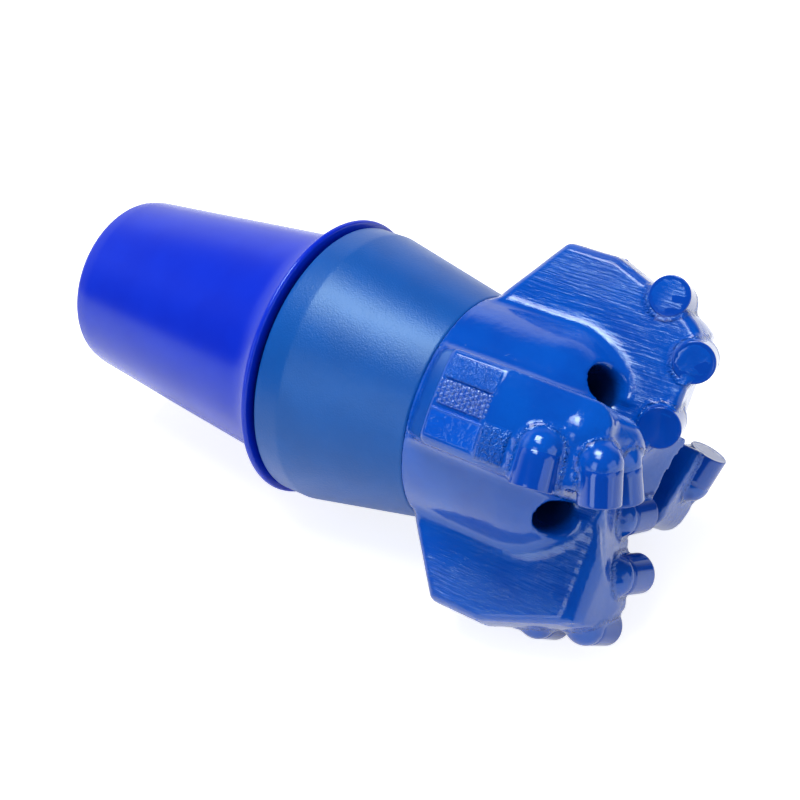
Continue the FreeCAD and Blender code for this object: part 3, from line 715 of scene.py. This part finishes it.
class Nodes:
    """Short way to add and join nodes in one tree."""

    def __init__(self, tree):
        self.tree = tree

    def add(self, kind, values=None, **settings):
        """A node; a value that is another node's output is joined to its input, any other is set there."""
        node = self.tree.nodes.new(kind)
        for key, value in settings.items():
            setattr(node, key, value)
        for key, value in (values or {}).items():
            if hasattr(value, "is_output"):
                self.join(value, node.inputs[key])
            else:
                node.inputs[key].default_value = value
        return node

    def number(self, operation, *values):
        """Result of a Math node."""
        return self.add("ShaderNodeMath", dict(enumerate(values)), operation=operation).outputs[0]

    def noise(self, place, scale, detail, **values):
        """Value of a noise texture."""
        values = {"Vector": place, "Scale": scale, "Detail": detail, **values}
        return self.add("ShaderNodeTexNoise", values).outputs[0]

    def stretched(self, place, scale):
        """Place stretched by a scale along each axis."""
        return self.add("ShaderNodeMapping", {"Vector": place, "Scale": scale}).outputs[0]

    def blend(self, share, first, second):
        """Colour from the first, where the share is 0, to the second."""
        mix = self.add("ShaderNodeMix", {"Factor": share, 6: first, 7: second}, data_type="RGBA")
        return mix.outputs[2]

    def join(self, source, target):
        """A link from an output to an input."""
        self.tree.links.new(source, target)


def emptied_nodes(owner):
    """The node tree of a material or world, with nothing in it."""
    owner.use_nodes = True
    owner.node_tree.nodes.clear()
    return Nodes(owner.node_tree)


def new_group(name, inputs, outputs):
    """Node group with its named sockets: its nodes, its input node and its output node."""
    group = bpy.data.node_groups.new(name, "ShaderNodeTree")
    for label, kind, value in inputs:
        socket = group.interface.new_socket(label, in_out="INPUT", socket_type=kind)
        if value is not None:
            socket.default_value = value
    for label, kind in outputs:
        group.interface.new_socket(label, in_out="OUTPUT", socket_type=kind)
    nodes = Nodes(group)
    return nodes, nodes.add("NodeGroupInput").outputs, nodes.add("NodeGroupOutput").inputs


def skin_group():
    """Paint film: orange peel, fine grain and stray specks as one height, and patchy roughness."""
    nodes, entry, leave = new_group("paint_skin", [
        ("Place", "NodeSocketVector", None),
        ("Peel size", "NodeSocketFloat", 900.0),
        ("Peel", "NodeSocketFloat", 0.5),
        ("Grain", "NodeSocketFloat", 0.2),
        ("Specks", "NodeSocketFloat", 0.3),
        ("Roughness", "NodeSocketFloat", 0.2),
        ("Patchiness", "NodeSocketFloat", 0.05),
    ], [("Height", "NodeSocketFloat"), ("Roughness", "NodeSocketFloat"), ("Tone", "NodeSocketFloat")])
    place = entry["Place"]
    peel = nodes.noise(place, entry["Peel size"], 1.5)
    grain = nodes.noise(place, 3200.0, 2.0)
    cloud = nodes.noise(place, 55.0, 3.0)
    speck = nodes.add("ShaderNodeTexVoronoi", {"Vector": place, "Scale": 260.0, "Randomness": 1.0})
    near = nodes.add("ShaderNodeMapRange", {"Value": speck.outputs["Distance"], "From Min": 0.10,
                                            "From Max": 0.0})
    kind = nodes.add("ShaderNodeSeparateColor", {"Color": speck.outputs["Color"]})
    chosen = nodes.number("GREATER_THAN", kind.outputs[0], 0.93)
    dots = nodes.number("MULTIPLY", near.outputs[0], chosen)
    height = nodes.number("MULTIPLY", peel, entry["Peel"])
    height = nodes.number("MULTIPLY_ADD", grain, entry["Grain"], height)
    height = nodes.number("MULTIPLY_ADD", dots, entry["Specks"], height)
    centred = nodes.number("SUBTRACT", cloud, 0.5)
    rough = nodes.number("MULTIPLY_ADD", centred, entry["Patchiness"], entry["Roughness"])
    nodes.join(height, leave["Height"])
    nodes.join(rough, leave["Roughness"])
    nodes.join(cloud, leave["Tone"])
    return nodes.tree


def tone_group():
    """Two paint tones blended by a slow pattern."""
    nodes, entry, leave = new_group("paint_tone", [
        ("Thin", "NodeSocketColor", (0.0, 0.08, 0.5, 1.0)),
        ("Thick", "NodeSocketColor", (0.0, 0.04, 0.4, 1.0)),
        ("Tone", "NodeSocketFloat", 0.5),
    ], [("Color", "NodeSocketColor")])
    share = nodes.add("ShaderNodeMapRange", {"Value": entry["Tone"], "From Min": 0.35, "From Max": 0.65})
    nodes.join(nodes.blend(share.outputs[0], entry["Thin"], entry["Thick"]), leave["Color"])
    return nodes.tree


def creases_group():
    """Leather-like creases: bent noise, stretched along each axis, times an amount."""
    nodes, entry, leave = new_group("paint_creases", [
        ("Place", "NodeSocketVector", None),
        ("Stretch", "NodeSocketVector", (900.0, 500.0, 500.0)),
        ("Bend", "NodeSocketFloat", 1.0),
        ("Amount", "NodeSocketFloat", 10.0),
    ], [("Height", "NodeSocketFloat")])
    stretched = nodes.stretched(entry["Place"], entry["Stretch"])
    creases = nodes.noise(stretched, 1.0, 1.0, Distortion=entry["Bend"])
    nodes.join(nodes.number("MULTIPLY", creases, entry["Amount"]), leave["Height"])
    return nodes.tree


PAINT_SKIN = skin_group()
PAINT_TONE = tone_group()
PAINT_CREASES = creases_group()


def paint(name, thin, thick, peel_size=900.0, peel=0.5, grain=0.2, specks=0.3, roughness=0.2,
          patchiness=0.05, bump=0.00003, coat=0.0, density=1.5, extra=None):
    """Painted or moulded finish in two tones; extra may change its colour, height and roughness."""
    material = bpy.data.materials.new(name)
    nodes = emptied_nodes(material)
    place = nodes.add("ShaderNodeTexCoord").outputs["Object"]
    skin = nodes.add("ShaderNodeGroup", {
        "Place": place, "Peel size": peel_size, "Peel": peel, "Grain": grain, "Specks": specks,
        "Roughness": roughness, "Patchiness": patchiness,
    }, node_tree=PAINT_SKIN)
    tone = nodes.add("ShaderNodeGroup", {
        "Thin": (*thin, 1.0), "Thick": (*thick, 1.0), "Tone": skin.outputs["Tone"],
    }, node_tree=PAINT_TONE)
    colour, height, rough = tone.outputs["Color"], skin.outputs["Height"], skin.outputs["Roughness"]
    if extra is not None:
        colour, height, rough = extra(nodes, place, colour, height, rough)
    relief = nodes.add("ShaderNodeBump", {"Height": height, "Distance": bump, "Strength": 1.0})
    shader = nodes.add("ShaderNodeBsdfPrincipled", {
        "Base Color": colour, "Roughness": rough, "Normal": relief.outputs[0], "IOR": density,
        "Specular Tint": (0.60, 0.90, 1.0, 1.0), "Coat Weight": coat, "Coat Roughness": 0.05,
    })
    nodes.add("ShaderNodeOutputMaterial", {"Surface": shader.outputs[0]})
    return material


def creased(nodes, place, stretch, bend, amount):
    """Height of creases from their node group."""
    values = {"Place": place, "Stretch": stretch, "Bend": bend, "Amount": amount}
    return nodes.add("ShaderNodeGroup", values, node_tree=PAINT_CREASES).outputs["Height"]


def cast_detail_and_painted_shade(nodes, place, colour, height, rough):
    """Brush lines on the blade faces, a creased patch, paint cracks round the cutters with painted shade
    darkening their seams, and painted shade in the holes and the bore, darker deeper in.
    """
    streak, leather, crack_and_seam_shade, inner = (
        nodes.add("ShaderNodeAttribute", attribute_name=label).outputs["Fac"]
        for label in ("streak", "leather", "crack_and_seam_shade", "inner"))
    lines = nodes.noise(nodes.stretched(place, (70.0, 1000.0, 1000.0)), 1.0, 3.0, Roughness=0.6)
    height = nodes.number("MULTIPLY_ADD", nodes.number("MULTIPLY", lines, streak), 7.0, height)
    creases = creased(nodes, place, (900.0, 500.0, 500.0), 1.2, nodes.number("MULTIPLY", leather, 12.0))
    height = nodes.number("ADD", creases, height)
    clots_and_seam_shade = nodes.number("MULTIPLY", nodes.noise(place, 700.0, 3.0), crack_and_seam_shade)
    height = nodes.number("MULTIPLY_ADD", clots_and_seam_shade, 9.0, height)
    seam_shade = nodes.add("ShaderNodeMapRange", {"Value": clots_and_seam_shade, "From Min": 0.45, "From Max": 0.62,
                                             "To Max": 0.6})
    # Painted shade: where the clot noise is high, the seams round the cutters are darkened nearly to black,
    # partly as a paint crack.
    colour = nodes.blend(seam_shade.outputs[0], colour, (0.001, 0.008, 0.06, 1.0))
    # Painted shade: the waterways and the bore darkened towards their depths.
    colour = nodes.blend(inner, colour, (0.001, 0.016, 0.11, 1.0))
    return colour, height, nodes.number("MULTIPLY_ADD", streak, 0.06, rough)


def creased_detail(nodes, place, colour, height, rough):
    """Fine leather-like creases of the rear pads."""
    creases = creased(nodes, place, (1100.0, 600.0, 600.0), 1.0, 10.0)
    return colour, nodes.number("ADD", creases, height), rough


def smeared_detail(nodes, place, colour, height, rough):
    """Runs and smears of paint on the front pads."""
    smear = nodes.noise(place, 240.0, 2.0, Distortion=2.0)
    return colour, nodes.number("MULTIPLY_ADD", smear, 9.0, height), rough


CAP_PLASTIC = paint(
    "cap_plastic", (0.0014, 0.0230, 0.560), (0.0008, 0.0190, 0.520), peel_size=160.0, peel=0.6,
    grain=0.02, specks=0.8, roughness=0.24, patchiness=0.06, bump=0.00002)
SHANK_PAINT = paint(
    "shank_paint", (0.0010, 0.0800, 0.380), (0.0008, 0.0700, 0.340), peel_size=1500.0, peel=1.0,
    grain=0.35, specks=0.6, roughness=0.34, patchiness=0.08, bump=0.00009)
CROWN_PAINT = paint(
    "crown_paint", (0.0008, 0.0800, 0.490), (0.0005, 0.0620, 0.430), peel_size=420.0, peel=1.0,
    grain=0.20, specks=1.2, roughness=0.12, patchiness=0.10, bump=0.00011, coat=0.5, extra=cast_detail_and_painted_shade)
CUTTER_PAINT = paint(
    "cutter_paint", (0.0007, 0.0580, 0.420), (0.0005, 0.0480, 0.380), peel_size=300.0, peel=0.5,
    grain=0.08, specks=0.5, roughness=0.12, bump=0.00003, coat=0.5)
PAD_PAINTS = {
    "rear": paint(
        "rear_pad_paint", (0.0014, 0.0900, 0.540), (0.0010, 0.0740, 0.480), peel_size=600.0, peel=0.6,
        grain=0.15, roughness=0.14, bump=0.00009, coat=0.5, extra=creased_detail),
    "grit": paint(
        "grit_pad_paint", (0.0010, 0.0760, 0.500), (0.0008, 0.0560, 0.420), peel_size=700.0, peel=0.6,
        grain=0.10, roughness=0.10, bump=0.00003, coat=1.0, density=1.9),
    "front": paint(
        "front_pad_paint", (0.0014, 0.0920, 0.580), (0.0010, 0.0740, 0.520), peel_size=420.0, peel=0.6,
        grain=0.10, roughness=0.14, bump=0.00005, coat=0.4, extra=smeared_detail),
}


# Putting the pieces on the frame

def finish_piece(piece, material, node):
    """A piece in its paint, on the body, in the place of its CAD node."""
    piece.data.materials.clear()
    piece.data.materials.append(material)
    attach(piece, "root")
    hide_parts(node)


finish_piece(make_cap(), CAP_PLASTIC, "thread_protector")
finish_piece(make_shank(), SHANK_PAINT, "shank")
finish_piece(make_crown(), CROWN_PAINT, "crown")
for cutter_name in CUTTERS:
    finish_piece(make_cutter(cutter_name), CUTTER_PAINT, f"cutter_{cutter_name}")
for blade_name in BLADES:
    for pad_kind in PADS:
        finish_piece(make_pad(blade_name, pad_kind), PAD_PAINTS[pad_kind],
                     f"gauge_{pad_kind}_pad_{blade_name}")


# Floor, world, lamps and camera

# Softboxes: place, what they look at, width, height, watts
SOFTBOXES = {
    "overhead_softbox": ((-0.19, -0.04, 1.15), (-0.19, -0.03, 0.0), 0.56, 0.42, 10.5),
    "side_panel": ((-0.06, -1.30, 0.50), (-0.04, 0.0, 0.05), 0.50, 0.90, 3.8),
    "front_softbox": ((0.02, -0.40, 1.15), (0.02, -0.03, 0.04), 0.44, 0.26, 2.6),
    "nose_panel": ((1.30, -0.05, 0.30), (0.10, 0.0, 0.0), 1.00, 0.80, 3.0),
}
# Camera, found from the turned outlines: place, its axes, and focal length in the photograph's pixels
CAMERA_PLACE = (0.2944, -0.34747, 0.33899)
CAMERA_RIGHT = (0.82, 0.56936, -0.05812)
CAMERA_UP = (-0.3179, 0.53761, 0.78086)
CAMERA_BACK = (0.4759, -0.6219, 0.6219)
FOCAL_PIXELS = 1439.3
PHOTO_PIXELS = 800.0
SENSOR_WIDTH = 36.0


def make_floor():
    """White floor; the camera and reflections see it glow, and the object's shadow falls on it."""
    camera_glow = 0.75
    glossy_glow = 0.40
    half, low = FLOOR_HALF, cad_low[2]
    corners = np.array([(-half, -half, low), (half, -half, low), (half, half, low), (-half, half, low)])
    floor = mesh_from("floor", corners, np.array([[0, 1, 2, 3]]))
    material = bpy.data.materials.new("floor_white")
    nodes = emptied_nodes(material)
    rays = nodes.add("ShaderNodeLightPath").outputs
    seen = nodes.number("MULTIPLY", rays["Is Camera Ray"], camera_glow)
    strength = nodes.number("MULTIPLY_ADD", rays["Is Glossy Ray"], glossy_glow, seen)
    diffuse = nodes.add("ShaderNodeBsdfDiffuse", {"Color": (0.8, 0.8, 0.8, 1.0)})
    glow = nodes.add("ShaderNodeEmission", {"Color": (1.0, 1.0, 1.0, 1.0), "Strength": strength})
    both = nodes.add("ShaderNodeAddShader", {0: diffuse.outputs[0], 1: glow.outputs[0]})
    nodes.add("ShaderNodeOutputMaterial", {"Surface": both.outputs[0]})
    floor.data.materials.append(material)


def make_world():
    """White where the camera looks past the floor; to other rays a pale low wall and a dim room."""
    world = bpy.data.worlds.new("studio")
    bpy.context.scene.world = world
    nodes = emptied_nodes(world)
    direction = nodes.add("ShaderNodeTexCoord").outputs["Generated"]
    parts = nodes.add("ShaderNodeSeparateXYZ", {"Vector": direction})
    low_wall = nodes.add("ShaderNodeMapRange", {"Value": parts.outputs[2], "From Min": 0.66,
                                                "From Max": 0.50})
    far = nodes.add("ShaderNodeVectorMath", {0: direction, 1: (-0.75, 0.66, 0.0)}, operation="DOT_PRODUCT")
    far_side = nodes.add("ShaderNodeMapRange", {"Value": far.outputs[1], "From Min": 0.20, "From Max": 0.60})
    wall = nodes.number("MULTIPLY", low_wall.outputs[0], far_side.outputs[0])
    shine = nodes.number("MULTIPLY_ADD", wall, 0.90, 0.04)
    rays = nodes.add("ShaderNodeLightPath").outputs
    level = nodes.add("ShaderNodeMix", {"Factor": rays["Is Glossy Ray"], "A": 0.38, "B": shine})
    room = nodes.add("ShaderNodeBackground", {"Color": (0.93, 0.96, 1.0, 1.0), "Strength": level.outputs[0]})
    white = nodes.add("ShaderNodeBackground", {"Color": (1.0, 1.0, 1.0, 1.0), "Strength": 1.0})
    pick = nodes.add("ShaderNodeMixShader", {0: rays["Is Camera Ray"], 1: room.outputs[0],
                                             2: white.outputs[0]})
    nodes.add("ShaderNodeOutputWorld", {"Surface": pick.outputs[0]})


def softbox(name, place, aim, width, height, power):
    """Rectangular lamp at a place, looking at a point."""
    lamp = bpy.data.lights.new(name, "AREA")
    lamp.shape = "RECTANGLE"
    lamp.size = width
    lamp.size_y = height
    lamp.energy = power
    holder = bpy.data.objects.new(name, lamp)
    holder.location = place
    holder.rotation_euler = (Vector(aim) - Vector(place)).to_track_quat("-Z", "Y").to_euler()
    bpy.context.scene.collection.objects.link(holder)


def make_camera():
    """Camera at the photograph's viewing angle."""
    data = bpy.data.cameras.new("camera")
    data.sensor_width = SENSOR_WIDTH
    data.lens = FOCAL_PIXELS * SENSOR_WIDTH / PHOTO_PIXELS
    data.clip_start = 0.01
    data.clip_end = 50.0
    camera = bpy.data.objects.new("camera", data)
    turn = Matrix((CAMERA_RIGHT, CAMERA_UP, CAMERA_BACK)).transposed()
    camera.matrix_world = Matrix.Translation(CAMERA_PLACE) @ turn.to_4x4()
    bpy.context.scene.collection.objects.link(camera)
    bpy.context.scene.camera = camera


make_floor()
make_world()
for box_name, box in SOFTBOXES.items():
    softbox(box_name, *box)
make_camera()
bpy.context.scene.view_settings.view_transform = "Standard"
